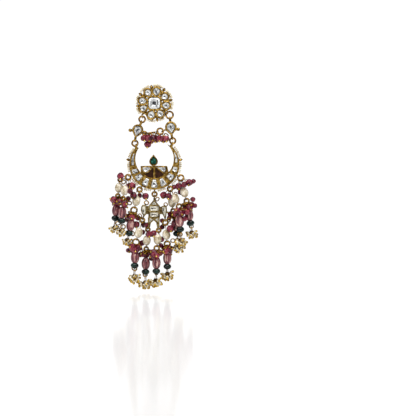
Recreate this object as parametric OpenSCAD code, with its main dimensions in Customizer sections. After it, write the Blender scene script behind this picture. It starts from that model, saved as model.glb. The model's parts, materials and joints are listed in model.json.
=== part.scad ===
// Chandbali earring: a pierced gold stud, two pear links, a crescent, a house-shaped pendant
// and ten bead drops. The front faces -Y, +Z is up, and the origin is at the middle of the
// stud's back, where it sits on the earlobe.

/* [Stud] */
// Radius to the outside of the petal settings
stud_r = 8.3; // [8.2:0.1:8.4]
// Thickness of the stud's gold, front to back
stud_t = 2.6; // [2.4:0.1:2.8]
// Width of the square centre stone
centre_stone_w = 6.0; // [5.8:0.1:6.1]
// Radius of the eight small round openings
stud_gap_r = 0.66; // [0.5:0.02:0.7]
// Length of the ear post
post_l = 10.5; // [9:0.5:12]
// Radius of the ear post
post_r = 0.45; // [0.4:0.05:0.5]

/* [Crescent] */
// Radius of the crescent's outer edge
crescent_r = 12.6; // [12.5:0.05:12.7]
// Radius of the crescent's inner edge
crescent_in_r = 9.6; // [9.5:0.05:9.7]
// Thickness of the crescent's gold, front to back
crescent_t = 2.4; // [2.2:0.1:2.6]

/* [Pendant] */
// Thickness of the pendant's gold, front to back
pendant_t = 2.4; // [2.2:0.1:2.6]

/* [Beads] */
// Radius of an oval pearl
pearl_r = 1.72; // [1.6:0.02:1.76]
// Half length of an oval pearl
pearl_h = 2.3; // [2.1:0.05:2.35]
// Radius of a pink bead
bead_r = 1.05; // [0.95:0.01:1.08]
// Greatest radius of a fluted melon bead
melon_r = 1.75; // [1.6:0.05:1.8]
// Half length of a fluted melon bead
melon_h = 2.9; // [2.7:0.05:3.0]
// Radius of a green rondelle
rondelle_r = 1.65; // [1.5:0.05:1.7]
// Half length of a green rondelle
rondelle_h = 1.05; // [0.9:0.05:1.1]

/* [Wire] */
// Radius of the wire of a jump ring or link ring
ring_wire = 0.26; // [0.24:0.01:0.28]
// Radius of the wire of a pin
pin_wire = 0.17; // [0.15:0.01:0.18]

/* [Hidden] */
$fn = 32;
// Middle depth of all that hangs below the stud
mid_y = -1.2;
// Clear gap between a stone and its pocket
seat_gap = 0.08;
// Radius of the hole through a bead
bore_r = 0.32;
// Radius of a gold granule at a pin's tip
granule_r = 0.38;
// An eye at a pin's end: its radius, its wire and how far a ring's wire drops in it
eye_r = 0.62;
eye_wire = 0.22;
eye_drop = 0.04;
// Middle of the crescent's two circles, as [x, z]
crescent_c = [0, -30.55];
crescent_in_c = [0.1, -27.8];
// Loops where a drop's ring goes through
loop_r = 0.72;
loop_wire = 0.32;
// Radius at which the crescent's loops stand
crescent_loop_at = crescent_r + 0.72;

// Petal settings of the stud: angle and stone width
PETALS = [[121, 3.3], [79.6, 3.7], [32.2, 3.3], [-11, 3.5], [-60.4, 3.4], [-104.5, 3.6], [-155.3, 3.3], [169, 3.5]];
// Notches between the petals, where a knob stands on the rim and the strands end
NOTCHES = [100, 55, 11, -80, -171, 147];
// Loops of the stud that carry the jump rings, as [x, z]
STUD_LEFT_LOOP = [-6.1, -6.5];
STUD_RIGHT_LOOP = [6.6, -4.4];
// The jump rings, as [x, z, radius]
JUMP_LEFT = [-6.1, -8.0, 1.5];
JUMP_RIGHT = [7.6, -5.84, 1.75];
// Pear settings, as [x, z, width of stone, length of stone, lean in degrees]
PEAR_LEFT = [-8.25, -13.3, 4.0, 5.4, -18];
PEAR_RIGHT = [8.25, -11.95, 4.3, 5.5, 4];
// Rings between the pears and the crescent's tips, as [x, z, radius]
TIP_RING_LEFT = [-9.7, -19.95, 1.4];
TIP_RING_RIGHT = [9.15, -18.75, 1.4];

// Four loops that carry drops and two knobs round the crescent, by angle
CRESCENT_LOOPS = [-155.5, -120.6, -57, -25.6];
CRESCENT_KNOBS = [169.7, 10.2];
// Stones round the crescent: angle, half angle at the outer end, half angle at the inner end
CRESCENT_STONES = [[-90, 9.2, 6.6], [-115.6, 8.2, 6.4], [-140.4, 8.4, 7.4], [-161, 6.4, 6.2], [-64.6, 8.6, 6.6],
    [-37.2, 9.0, 8.0], [-13.5, 7.4, 7.0]];
// Long thin stones towards the tips: wide end angle and narrow end angle
CRESCENT_LONG = [[183, 151], [4, 31]];
// Inset of a crescent stone from the outer and the inner edge
stone_in_out = 0.8;
stone_in_in = 0.6;

// Carrier rings of the drops, as [x, y, z, radius]; the last one hangs on the first
CARRY = [
    [-13.15, mid_y, -36.95, 1.32],
    [-7.4, mid_y, -43.1, 1.2],
    [7.85, mid_y, -42.75, 1.25],
    [13.15, mid_y, -37.25, 1.45],
    [-6.05, mid_y, -58.4, 1.1],
    [-3.25, mid_y, -63.05, 1.0],
    [2.15, mid_y, -63.4, 1.0],
    [5.45, mid_y, -59.55, 1.3],
    [-17.15, -0.9, -38.2, 0.95]];

// Drops, one row each: carrier ring and the eye's bearing on it, lower ring as [x, y, z, radius],
// middle of the spray as [x, z], how far the melon's middle is below the cluster's hub, and the
// bearings of the pink beads round the hub, where 0 looks to the right and 270 to the front
DROPS = [
    [[8, 258], [-18.3, 0.9, -46.2, 0.95], [-20.0, -61.9], 4.7, [60, 120, 180, 240]],
    [[0, 250], [-15.6, -3.4, -47.5, 0.95], [-16.6, -63.6], 4.6, [0, 60, 210, 270, 320]],
    [[1, 256], [-10.2, -1.2, -53.4, 1.5], [-13.4, -68.2], 4.6, [90, 150, 200, 260]],
    [[3, 286], [16.1, -1.2, -48.8, 1.15], [18.8, -64.4], 4.4, [0, 60, 120, 300]],
    [[2, 310], [12.3, -3.4, -51.5, 1.2], [13.2, -68.1], 4.6, [0, 180, 240, 300]],
    [[2, 277], [9.3, 1.2, -53.6, 0.95], [12.3, -71.4], 5.0, [20, 80, 140]],
    [[4, 254], [-9.2, -1.6, -69.4, 1.6], [-10.1, -86.2], 4.4, [90, 150, 210, 270, 330]],
    [[5, 252], [-4.1, 0.4, -72.7, 0.95], [-4.6, -89.4], 4.9, [30, 90, 150, 200, 250]],
    [[6, 264], [1.2, -2.8, -72.35, 1.2], [0.9, -88.2], 4.6, [30, 150, 210, 270, 330]],
    [[7, 275], [6.4, 0.2, -70.3, 1.4], [6.45, -85.0], 4.2, [0, 60, 120, 240, 300]]];

// Pink beads on head pins that hang straight from a carrier ring:
// carrier ring and the eye's bearing on it, bead middle as [x, y, z]
HEAD_PINS = [
    [[0, 158], [-16.9, -3.2, -36.4]],
    [[0, 313], [-11.0, -1.6, -41.2]],
    [[0, 283], [-12.4, 1.6, -41.4]],
    [[1, 312], [-4.4, -1.2, -46.4]],
    [[1, 210], [-10.4, -2.9, -46.0]],
    [[2, 202], [4.6, -1.2, -45.9]],
    [[2, 243], [7.2, -3.4, -46.4]],
    [[3, 331], [17.4, -1.2, -39.6]],
    [[3, 222], [12.0, -3.2, -41.4]],
    [[3, 251], [12.3, 1.0, -41.6]],
    [[4, 313], [-3.6, 0.9, -61.0]],
    [[4, 205], [-9.0, 0.9, -60.6]],
    [[5, 290], [-2.7, -3.2, -65.3]],
    [[6, 200], [-0.5, -1.4, -65.1]],
    [[7, 318], [8.0, -2.4, -62.6]]];

// Rings that hold the bridge at the left and the right pear, as [x, y, z, radius]
BRIDGE_LEFT = [-4.9, mid_y, -15.0, 0.85];
BRIDGE_RING = [2.9, mid_y, -14.0, 1.5];
// Pink beads under the bridge: how far along its wire each one hangs, and its middle as [x, y, z]
BRIDGE_BEADS = [[0, [-5.2, -1.9, -17.3]], [0.14, [-2.9, -2.6, -17.5]], [0.28, [-3.4, -1.2, -20.6]],
    [0.43, [-1.6, -0.2, -18.4]], [0.57, [-0.6, -2.6, -17.2]], [0.72, [0.9, -0.8, -18.0]],
    [0.86, [2.6, -2.6, -17.6]], [1, [4.5, -0.9, -18.0]]];
// Pink bead that hangs from the right one of the two rings: bearing on it, and middle as [x, y, z]
BRIDGE_HOOKS = [[300, [5.9, -2.6, -17.7]]];

// Colours as the photo shows them
gold = "#a47c3c";
white_stone = "#d9d9d4";
pearl_white = "#d9ccb0";
pink = "#8c3f52";
mauve = "#a06a70";
green = "#12302a";

// Depths of the stud's back plate and of the stones, front to back
stud_plate_t = 1.2;
stone_back = 0.5;
stone_proud = 0.55;
knob_r = 0.6;
jump_loop_r = 0.85;
// Turn of the line through both jump rings' contacts, which is the crescent's hinge
hinge_turn = atan2(STUD_RIGHT_LOOP[1] - STUD_LEFT_LOOP[1], STUD_RIGHT_LOOP[0] - STUD_LEFT_LOOP[0]);
// Depth of the front of the crescent and the pendant
crescent_front = mid_y - crescent_t / 2;
crescent_back = mid_y + crescent_t / 2;
pendant_front = mid_y - pendant_t / 2;
pendant_back = mid_y + pendant_t / 2;

function unit(v) = v / norm(v);
function sum(list, i = 0) = i < len(list) - 1 ? list[i] + sum(list, i + 1) : list[i];
function mean(list) = sum(list) / len(list);
function turned(p, a) = [p[0] * cos(a) - p[1] * sin(a), p[0] * sin(a) + p[1] * cos(a)];
function placed(points, c, a = 0) = [for (p = points) c + turned(p, a)];
function polar(r, a) = r * [cos(a), sin(a)];
// Middle of a ring that is given as [x, y, z, radius]
function middle_of(ring) = [ring[0], ring[1], ring[2]];
// A point of the flat front view, [x, z], at a depth
function at_depth(p, y) = [p[0], y, p[1]];
// Direction in the front view from a ring's middle to a point
function side_dir(from, to) = unit([to[0] - from[0], 0, to[2] - from[2]]);

// Outline of a drop: a round of radius r with its tip at distance tip straight below
function drop_points(r, tip, n) =
    let (lean = acos(r / tip))
    concat([[0, -tip]], [for (i = [0:n - 1]) polar(r, -90 + lean + (360 - 2 * lean) * i / (n - 1))]);

// Outline of a square with round corners, three points to a corner
function cushion_points(w, corner) =
    [for (q = [0:3]) for (s = [0, 45, 90])
        turned([w / 2 - corner, w / 2 - corner] + polar(corner, s), q * 90)];

// Outline of a rectangle with cut corners
function bar_points(w, h, cut) =
    [[w / 2 - cut, -h / 2], [w / 2, cut - h / 2], [w / 2, h / 2 - cut], [w / 2 - cut, h / 2],
        [cut - w / 2, h / 2], [-w / 2, h / 2 - cut], [-w / 2, cut - h / 2], [cut - w / 2, -h / 2]];

// The same outline, larger by about d all round
function grown(points, d) = let (c = mean(points)) [for (p = points) p + d * unit(p - c)];

// Radius of the crescent's inner edge, seen from the middle of its outer edge
function inner_edge(a) =
    let (o = crescent_in_c - crescent_c, along = o * polar(1, a))
    along + sqrt(along * along - o * o + crescent_in_r * crescent_in_r);

// Outline of a crescent stone: wide at the outer edge, narrow at the inner edge, corners cut
function sector_points(a, wide, narrow) =
    let (out = crescent_r - stone_in_out, in = inner_edge(a) + stone_in_in, deep = out - in)
    [for (s = [[in, -1], [out - deep * 0.2, -1], [out, -0.8], [out, 0], [out, 0.8], [out - deep * 0.2, 1],
        [in, 1], [in, 0]])
        let (half = s[0] == in ? narrow : wide) crescent_c + polar(s[0], a + s[1] * half)];

// Outline of a long thin stone that follows the crescent towards a tip
function long_stone_points(wide_end, narrow_end) =
    let (half = [0.62, 0.66, 0.5, 0.24], steps = wide_end < narrow_end ? [0:3] : [3:-1:0])
    let (spots = [for (i = steps) let (a = wide_end + (narrow_end - wide_end) * i / 3)
        [a, (crescent_r + inner_edge(a)) / 2, half[i]]])
    concat([for (i = [0:3]) crescent_c + polar(spots[i][1] + spots[i][2], spots[i][0])],
        [for (i = [3:-1:0]) crescent_c + polar(spots[i][1] - spots[i][2], spots[i][0])]);

// Flat shape in the front view, from depth back to depth front
module slab(back, front) {
    translate([0, back, 0]) rotate([90, 0, 0]) linear_extrude(back - front) children();
}

// Children stand at p with their +Z along u
module along(p, u) {
    side = unit(cross([0, 1, 0], u));
    over = cross(u, side);
    multmatrix([
        [side[0], over[0], u[0], p[0]],
        [side[1], over[1], u[1], p[1]],
        [side[2], over[2], u[2], p[2]],
        [0, 0, 0, 1]]) children();
}

module rod(p, q, r) {
    along(p, unit(q - p)) cylinder(h = norm(q - p), r = r);
}

module torus(r, wire) {
    rotate_extrude() translate([r, 0]) circle(wire);
}

// A ring that is seen face on
module face_ring(p, r, wire) {
    translate(p) rotate([90, 0, 0]) torus(r, wire);
}

// An eye at p that a face-on ring goes through; u runs along its pin
module eye(p, u) {
    along(p, u) rotate([0, 90, 0]) torus(eye_r, eye_wire);
}

// A loop with a stalk, on a frame: the stalk starts at foot and the hole's middle is at p
module loop(foot, p, r = loop_r, wire = loop_wire, stalk = 0.46) {
    u = unit(p - foot);
    eye_like(p, u, r, wire);
    rod(foot, p - u * r, stalk);
}

module eye_like(p, u, r, wire) {
    along(p, u) rotate([0, 90, 0]) torus(r, wire);
}

// A cut stone: flat table in front, a ring of bevels to the girdle, and bevels to the back
module stone(points, back, front, table = 0.58) {
    n = len(points);
    c = mean(points);
    girdle = back + (front - back) * 0.45;
    rings = [[front, table], [girdle, 1], [back, 0.86]];
    corners = [for (k = rings) for (p = points) at_depth(c + (p - c) * k[1], k[0])];
    table_face = [for (i = [n - 1:-1:0]) i];
    back_face = [for (i = [0:n - 1]) 2 * n + i];
    bevels = [for (k = [0, 1]) for (i = [0:n - 1])
        let (j = (i + 1) % n) [k * n + i, k * n + j, (k + 1) * n + j, (k + 1) * n + i]];
    polyhedron(corners, concat([table_face, back_face], bevels), convexity = 4);
}

// The stone that fills a pocket whose floor is at floor_y
module seated_stone(points, floor_y, front) {
    color(white_stone) stone(grown(points, -seat_gap), floor_y - seat_gap, front);
}

// A knob on a stalk: a ball at radius at, with a smaller ball on top of it
module rim_knob(c, foot, at, a) {
    rod(at_depth(c + polar(foot, a), mid_y), at_depth(c + polar(at, a), mid_y), 0.42);
    translate(at_depth(c + polar(at, a), mid_y)) sphere(knob_r);
    translate(at_depth(c + polar(at + 0.7, a), mid_y)) sphere(0.36);
}

// Stud
function petal_points(p, grow = 0) =
    placed(drop_points(p[1] / 2 + grow, p[1] / 2 + 0.55 + grow * 1.6, 9), polar(stud_r - 0.45 - p[1] / 2, p[0]),
        p[0] - 90);

module stud_outline() {
    for (p = PETALS) polygon(petal_points(p, 0.45));
    circle(5.4);
}

module stud_frame() {
    color(gold) difference() {
        union() {
            slab(0, -stud_plate_t) stud_outline();
            slab(-stud_plate_t + 0.1, -stud_t) {
                for (p = PETALS) polygon(petal_points(p, 0.45));
                polygon(cushion_points(centre_stone_w + 0.9, 1.8));
            }
            for (a = NOTCHES) rim_knob([0, 0], 5.3, 8.3, a);
            for (p = [STUD_LEFT_LOOP, STUD_RIGHT_LOOP]) stud_jump_loop(p);
        }
        slab(-stud_t + 1.15, -stud_t - 1) {
            for (p = PETALS) polygon(petal_points(p));
            polygon(cushion_points(centre_stone_w, 1.5));
        }
        for (a = [100, 53.6, 11, -35, -80, -130.7, -171, 147.3])
            slab(1, -stud_t - 1) translate(polar(4.5, a)) circle(stud_gap_r);
    }
}

// A large loop whose hole lies along the hinge line, on a stalk from the stud's notch
module stud_jump_loop(p) {
    centre = at_depth(p, mid_y);
    foot = at_depth(unit(p) * 5.6, mid_y);
    top = at_depth(p + turned([0, jump_loop_r], hinge_turn), mid_y);
    translate(centre) rotate([0, 90 - hinge_turn, 0]) torus(jump_loop_r, ring_wire);
    rod(foot, top, 0.42);
}

module ear_post() {
    color(gold) translate([0, 0.0, 0]) rotate([-90, 0, 0]) {
        cylinder(h = 0.5, r = 1.6);
        cylinder(h = post_l, r = post_r);
    }
}

module stud_centre_stone() {
    seated_stone(cushion_points(centre_stone_w, 1.5), -stud_t + 1.15, -stud_t - stone_proud);
}

module stud_petal_stones() {
    for (p = PETALS) seated_stone(petal_points(p), -stud_t + 1.15, -stud_t - stone_proud);
}

// Strings of seed pearls round the stud, as the tubes that they fill between the loops
module stud_seed_strand() {
    arcs = [[17, 49], [61, 94], [106, 141], [153, 183], [195, 216], [245, 274], [286, 304], [-20, 5]];
    color(pearl_white) for (a = arcs)
        translate([0, mid_y, 0]) rotate([90, 0, 0]) rotate([0, 0, a[0]])
            rotate_extrude(angle = a[1] - a[0]) translate([stud_r + 0.62, 0]) circle(0.48);
}

// Rings and pears between the stud and the crescent
module flat_ring(spec, wire = ring_wire) {
    color(gold) face_ring([spec[0], mid_y, spec[1]], spec[2], wire);
}

module left_jump_ring() flat_ring(JUMP_LEFT);

module right_jump_ring() flat_ring(JUMP_RIGHT);

module left_tip_ring() flat_ring(TIP_RING_LEFT);

module right_tip_ring() flat_ring(TIP_RING_RIGHT);

function pear_points(p, grow = 0) =
    placed(drop_points(p[2] / 2 + grow, p[3] - p[2] / 2 + grow * 1.5, 11), [p[0], p[1]], p[4]);

// Where an eye stands that holds a ring, on the ring's side towards a point
function eye_middle(ring, to, up = 1) =
    let (c = [ring[0], mid_y, ring[1]], u = side_dir(c, to)) c + u * (ring[2] + up * eye_drop);

module pear_setting(p, top_ring, low_ring, knobs) {
    c = [p[0], mid_y, p[1]];
    tip = at_depth([p[0], p[1]] + turned([0, -(p[3] - p[2] / 2)], p[4]), mid_y);
    color(gold) difference() {
        union() {
            slab(mid_y + 1.1, mid_y - 1.1) polygon(pear_points(p, 0.5));
            loop(c + side_dir(c, [top_ring[0], 0, top_ring[1]]) * (p[2] / 2), eye_middle(top_ring, c));
            loop(tip, eye_middle(low_ring, tip));
            for (k = knobs) {
                rod(c + side_dir(c, [k[0], 0, k[1]]) * p[2] / 2, [k[0], mid_y, k[1]], 0.42);
                translate([k[0], mid_y, k[1]]) sphere(k[2]);
            }
            children();
        }
        slab(mid_y + 0.1, mid_y - 3) polygon(pear_points(p));
    }
}

module left_pear_setting() {
    pear_setting(PEAR_LEFT, JUMP_LEFT, TIP_RING_LEFT, [[-12.1, -13.5, 0.62]]) {
        face_ring(middle_of(BRIDGE_LEFT), BRIDGE_LEFT[3], ring_wire);
        rod([-6.6, mid_y, -14.3], middle_of(BRIDGE_LEFT) + [-BRIDGE_LEFT[3], 0, 0.1], 0.3);
    }
}

module right_pear_setting() {
    pear_setting(PEAR_RIGHT, JUMP_RIGHT, TIP_RING_RIGHT, [[12.0, -13.0, 0.62]])
        loop([PEAR_RIGHT[0] - 2, mid_y, PEAR_RIGHT[1] - 1.0], eye_on(BRIDGE_RING, [PEAR_RIGHT[0], mid_y, -13.1]));
}

module left_pear_stone() {
    seated_stone(pear_points(PEAR_LEFT), mid_y + 0.1, mid_y - 1.1 - stone_proud);
}

module right_pear_stone() {
    seated_stone(pear_points(PEAR_RIGHT), mid_y + 0.1, mid_y - 1.1 - stone_proud);
}

// Bridge
// A head pin through a bead, from inside the solid round start, with a granule at its tip
module head_pin(start, bead, skip = 0) {
    u = unit(bead - start);
    tip = bead + u * (bead_r + granule_r + 0.02);
    rod(start + u * skip, tip, pin_wire);
    translate(tip) sphere(granule_r);
}

module drilled_bead(start, bead) {
    color(pink) along(bead, unit(bead - start)) difference() {
        sphere(bead_r);
        cylinder(h = 3 * bead_r, r = bore_r, center = true);
    }
}

// The bridge's straight wire with its thick bar, and where a bead hangs from it
bar_r = 0.38;
function bridge_start() = eye_at(BRIDGE_LEFT, 0);
function bridge_end() = eye_at(BRIDGE_RING, 188);
function bridge_point(b) =
    let (u = unit(bridge_end() - bridge_start()), from = bridge_start() + u * 1.4, to = bridge_end() - u * 1.4)
    from + (to - from) * b[0];

function bridge_hook(h) = eye_at(BRIDGE_RING, h[0]);

module bridge_wire() {
    color(gold) {
        face_ring(middle_of(BRIDGE_RING), BRIDGE_RING[3], ring_wire);
        eye_pin(bridge_start(), bridge_end());
        along(bridge_point([-0.15]), unit(bridge_end() - bridge_start()))
            cylinder(h = norm(bridge_point([1.15]) - bridge_point([-0.15])), r = bar_r);
        for (b = BRIDGE_BEADS) head_pin(bridge_point(b), b[1]);
        for (h = BRIDGE_HOOKS) {
            eye(bridge_hook(h), unit(h[1] - bridge_hook(h)));
            head_pin(bridge_hook(h), h[1], eye_r);
        }
    }
}

module bridge_beads() {
    for (b = BRIDGE_BEADS) drilled_bead(bridge_point(b), b[1]);
    for (h = BRIDGE_HOOKS) drilled_bead(bridge_hook(h), h[1]);
}

// Crescent
module crescent_outline() {
    intersection() {
        difference() {
            translate(crescent_c) circle(crescent_r);
            translate(crescent_in_c) circle(crescent_in_r);
        }
        polygon([[-14, -22.6], [-14, -44], [14, -44], [14, -20.6]]);
    }
}

emerald_c = [-0.4, -29.1];
EMERALD = [3.6, 4.7];
function emerald_points(grow = 0) =
    placed(drop_points(EMERALD[0] / 2 + grow, EMERALD[1] - EMERALD[0] / 2 + grow * 1.5, 9), emerald_c, 180);
// The left and the right side stone
SIDE_LEFT = [[-6.2, -32.1], [-5.6, -34.0], [-4.3, -34.7], [-3.2, -34.2], [-1.7, -32.8], [-2.2, -31.95], [-4, -31.9],
    [-5.4, -31.85]];
SIDE_RIGHT = [[1.1, -31.95], [2.6, -33.1], [4.3, -34.4], [5.2, -34.4], [5.8, -33.4], [5.7, -32.0], [4.2, -31.8],
    [2.4, -31.8]];

module motif_plate() {
    polygon([[-6.9, -31.3], [-6.7, -37.0], [-4, -37.9], [4, -37.9], [6.4, -36.4], [7.2, -34.6], [6.4, -31.3],
        [2.0, -31.2], [-2.8, -31.2]]);
}

module crescent_frame() {
    color(gold) difference() {
        union() {
            slab(crescent_back, crescent_front) {
                crescent_outline();
                polygon(emerald_points(0.42));
                polygon(grown(SIDE_LEFT, 0.45));
                polygon(grown(SIDE_RIGHT, 0.45));
                polygon([[-0.5, -31], [-0.45, -38], [0.5, -38], [0.3, -31]]);
            }
            slab(crescent_back, mid_y) motif_plate();
            for (a = CRESCENT_LOOPS)
                loop(at_depth(crescent_c + polar(crescent_r - 0.6, a), mid_y),
                    at_depth(crescent_c + polar(crescent_loop_at, a), mid_y));
            for (a = CRESCENT_KNOBS) rim_knob(crescent_c, crescent_r - 0.6, crescent_r + 0.65, a);
            loop([-8.55, mid_y, -22.9], eye_middle(TIP_RING_LEFT, [-8.8, 0, -21.6]));
            loop([8.1, mid_y, -21.9], eye_middle(TIP_RING_RIGHT, [8.7, 0, -20.4]));
            loop([0.1, mid_y, -42.5], pendant_loop, pendant_loop_r, loop_wire, 0.42);
        }
        slab(mid_y + 0.1, mid_y - 3) {
            for (s = CRESCENT_STONES) polygon(sector_points(s[0], s[1], s[2]));
            for (s = CRESCENT_LONG) polygon(long_stone_points(s[0], s[1]));
            polygon(emerald_points());
            polygon(SIDE_LEFT);
            polygon(SIDE_RIGHT);
        }
    }
}

module crescent_stones() {
    front = crescent_front - stone_proud;
    for (s = CRESCENT_STONES) seated_stone(sector_points(s[0], s[1], s[2]), mid_y + 0.1, front);
    for (s = CRESCENT_LONG) seated_stone(long_stone_points(s[0], s[1]), mid_y + 0.1, crescent_front - 0.3);
}

module emerald_drop_stone() {
    color(green) stone(grown(emerald_points(), -seat_gap), mid_y, crescent_front - stone_proud);
}

module side_stones() {
    seated_stone(SIDE_LEFT, mid_y + 0.1, crescent_front - stone_proud);
    seated_stone(SIDE_RIGHT, mid_y + 0.1, crescent_front - stone_proud);
}

// Strings of seed pearls along the crescent's outer edge, as the tubes that they fill
module crescent_seed_strand() {
    loops = [[10.2, 4.6], [-25.6, 7.5], [-57, 7.5], [-90, 7], [-120.6, 7.5], [-155.5, 7.5], [-190.3, 4.6]];
    last = len(loops) - 1;
    ends = concat([[42, loops[0][0] + loops[0][1]]],
        [for (i = [0:last - 1]) [loops[i][0] - loops[i][1], loops[i + 1][0] + loops[i + 1][1]]],
        [[loops[last][0] - loops[last][1], -218]]);
    color(pearl_white) for (a = ends)
        translate(at_depth(crescent_c, mid_y)) rotate([90, 0, 0]) rotate([0, 0, a[1]])
            rotate_extrude(angle = a[0] - a[1]) translate([crescent_r + 0.62, 0]) circle(0.5);
}

// Pendant
pendant_loop = [0.1, mid_y, -44.15];
pendant_loop_r = 0.72;
PENDANT_RING = [0.1, -45.4, 1.15];
BODY = [[-3.1, -61.0], [-3.3, -57.6], [-3.0, -56.4], [-3.1, -51.5], [-0.1, -47.9], [2.9, -51.5], [2.8, -56.4],
    [2.6, -58.6], [2.6, -61.6], [1.4, -62.1], [0.9, -59.6], [-0.3, -58.5], [-1.6, -59.6], [-2.2, -61.4]];
ROOF_STONE = [[-1.5, -50.7], [-0.6, -50.9], [0.4, -50.9], [1.3, -50.7], [1.0, -50.1], [0.3, -49.3], [-0.1, -49.0],
    [-0.5, -49.3], [-1.2, -50.1]];
LEFT_WING = [[-5.9, -51.2], [-4.4, -51.0], [-4.1, -53.6], [-4.4, -55.4], [-5.2, -55.9], [-6.0, -54.8], [-6.3, -53.4],
    [-6.3, -52.2]];
RIGHT_WING = [[3.7, -51.9], [4.7, -51.5], [6.0, -51.7], [5.9, -53.8], [5.7, -56.6], [5.1, -56.9], [4.3, -55.2],
    [3.9, -53.6]];
TAIL_LEFT = [[-2.6, -59.3], [-2.5, -57.6], [-1.9, -57.3], [-1.1, -57.7], [-0.5, -58.0], [-0.8, -58.35],
    [-1.6, -58.6], [-2.2, -59.3]];
TAIL_RIGHT = [[0.3, -58.0], [0.8, -57.7], [1.5, -57.3], [2.1, -57.6], [2.2, -59.3], [1.8, -59.3], [1.2, -58.6],
    [0.6, -58.35]];
UPPER_BAR = placed(bar_points(5.0, 2.5, 0.4), [-0.1, -52.5]);
LOWER_BAR = placed(bar_points(4.6, 2.3, 0.4), [-0.1, -55.6]);

module pendant_frame() {
    stones = [ROOF_STONE, UPPER_BAR, LOWER_BAR, LEFT_WING, RIGHT_WING, TAIL_LEFT, TAIL_RIGHT];
    color(gold) difference() {
        union() {
            slab(pendant_back, pendant_front) {
                polygon(BODY);
                polygon(grown(LEFT_WING, 0.45));
                polygon(grown(RIGHT_WING, 0.45));
            }
            slab(pendant_back, mid_y) polygon([[-4.3, -51.2], [-4.3, -55.4], [4.2, -55.4], [4.2, -51.8]]);
            loop([-0.1, mid_y, -48.6], eye_middle(PENDANT_RING, [0, 0, -48]));
            loop([-5.2, mid_y, -56.0], eye_on(CARRY[4], [-5.2, mid_y, -56]));
            loop([-2.7, mid_y, -60.8], eye_on(CARRY[5], [-2.7, mid_y, -60]));
            loop([2.0, mid_y, -61.4], eye_on(CARRY[6], [2.0, mid_y, -60]));
            loop([5.3, mid_y, -57.0], eye_on(CARRY[7], [5.4, mid_y, -57]));
        }
        for (s = stones) slab(mid_y + 0.1, mid_y - 3) polygon(s);
    }
}

module pendant_stone(points) seated_stone(points, mid_y + 0.1, pendant_front - stone_proud);

module pendant_ring() flat_ring(PENDANT_RING);

module pendant_roof_stone() pendant_stone(ROOF_STONE);

module pendant_upper_bar_stone() pendant_stone(UPPER_BAR);

module pendant_lower_bar_stone() pendant_stone(LOWER_BAR);

module pendant_left_wing_stone() pendant_stone(LEFT_WING);

module pendant_right_wing_stone() pendant_stone(RIGHT_WING);

module pendant_tail_stones() {
    pendant_stone(TAIL_LEFT);
    pendant_stone(TAIL_RIGHT);
}

// Drops: named parts of a row
hub_r = 0.55;
hub_skip = 0.38;
seed_hub_r = 1.05;
seed_r = 0.62;
function spray_middle(d) = [d[2][0], d[1][1], d[2][1]];
// Middle of an eye that hangs on a ring, by its bearing or towards a point
function eye_at(ring, bearing) = middle_of(ring) + (ring[3] + eye_drop) * [cos(bearing), 0, sin(bearing)];
function eye_on(ring, to) = middle_of(ring) + side_dir(middle_of(ring), to) * (ring[3] + eye_drop);
function carrier(row) = CARRY[row[0][0]];
function top_eye(row) = eye_at(carrier(row), row[0][1]);
function low_eye(d) = eye_on(d[1], middle_of(carrier(d)));
function pearl_axis(d) = unit(low_eye(d) - top_eye(d));
function pearl_middle(d) = low_eye(d) - pearl_axis(d) * (eye_r + eye_wire + pearl_h + 0.1);
function melon_eye(d) = eye_on(d[1], spray_middle(d));
function melon_axis(d) = unit(spray_middle(d) - melon_eye(d));
function hub(d) = melon_eye(d) + melon_axis(d) * (eye_r + hub_r + 0.35);
function melon_middle(d) = hub(d) + melon_axis(d) * d[3];
function rondelle_middle(d) = melon_middle(d) + melon_axis(d) * (melon_h + rondelle_h + 0.15);
function cluster_bead(d, i) =
    let (b = d[4][i], up = i % 2 == 0 ? 16 : -24)
    hub(d) + 1.95 * [cos(b) * cos(up), sin(b) * cos(up), sin(up)];

// A straight pin with an eye at both ends
module eye_pin(p, q) {
    u = unit(q - p);
    eye(p, u);
    eye(q, u);
    rod(p + u * eye_r, q - u * eye_r, pin_wire);
}

module drop_wires(d) {
    u = melon_axis(d);
    tip = spray_middle(d) + u * (seed_hub_r + granule_r + 0.08);
    face_ring(middle_of(d[1]), d[1][3], ring_wire);
    eye_pin(top_eye(d), low_eye(d));
    eye(melon_eye(d), u);
    rod(melon_eye(d) + u * eye_r, tip, pin_wire);
    translate(tip) sphere(granule_r);
    translate(hub(d)) sphere(hub_r);
    for (i = [0:len(d[4]) - 1]) head_pin(hub(d), cluster_bead(d, i), hub_skip);
}

module drop_beads(d) {
    for (i = [0:len(d[4]) - 1]) drilled_bead(hub(d), cluster_bead(d, i));
}

// A head pin hooked on a carrier ring: its eye, then its bead
function hook_axis(h) = unit(h[1] - top_eye(h));

module hooked_pin(h) {
    eye(top_eye(h), hook_axis(h));
    head_pin(top_eye(h), h[1], eye_r);
}

module hooked_bead(h) {
    drilled_bead(top_eye(h), h[1]);
}

// Which drops, carrier rings and hooked pins belong to each side
LEFT = [[0, 1, 2], [0, 1, 8], [0, 1, 2, 3, 4]];
RIGHT = [[3, 4, 5], [2, 3], [5, 6, 7, 8, 9]];
UNDER = [[6, 7, 8, 9], [4, 5, 6, 7], [10, 11, 12, 13, 14]];

module wires_of(side) {
    color(gold) {
        for (k = side[1]) face_ring(middle_of(CARRY[k]), CARRY[k][3], ring_wire);
        if (side == LEFT) eye_pin(eye_on(CARRY[0], middle_of(CARRY[8])), eye_on(CARRY[8], middle_of(CARRY[0])));
        for (i = side[0]) drop_wires(DROPS[i]);
        for (i = side[2]) hooked_pin(HEAD_PINS[i]);
    }
}

module pink_beads_of(side) {
    for (i = side[0]) drop_beads(DROPS[i]);
    for (i = side[2]) hooked_bead(HEAD_PINS[i]);
}

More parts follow.
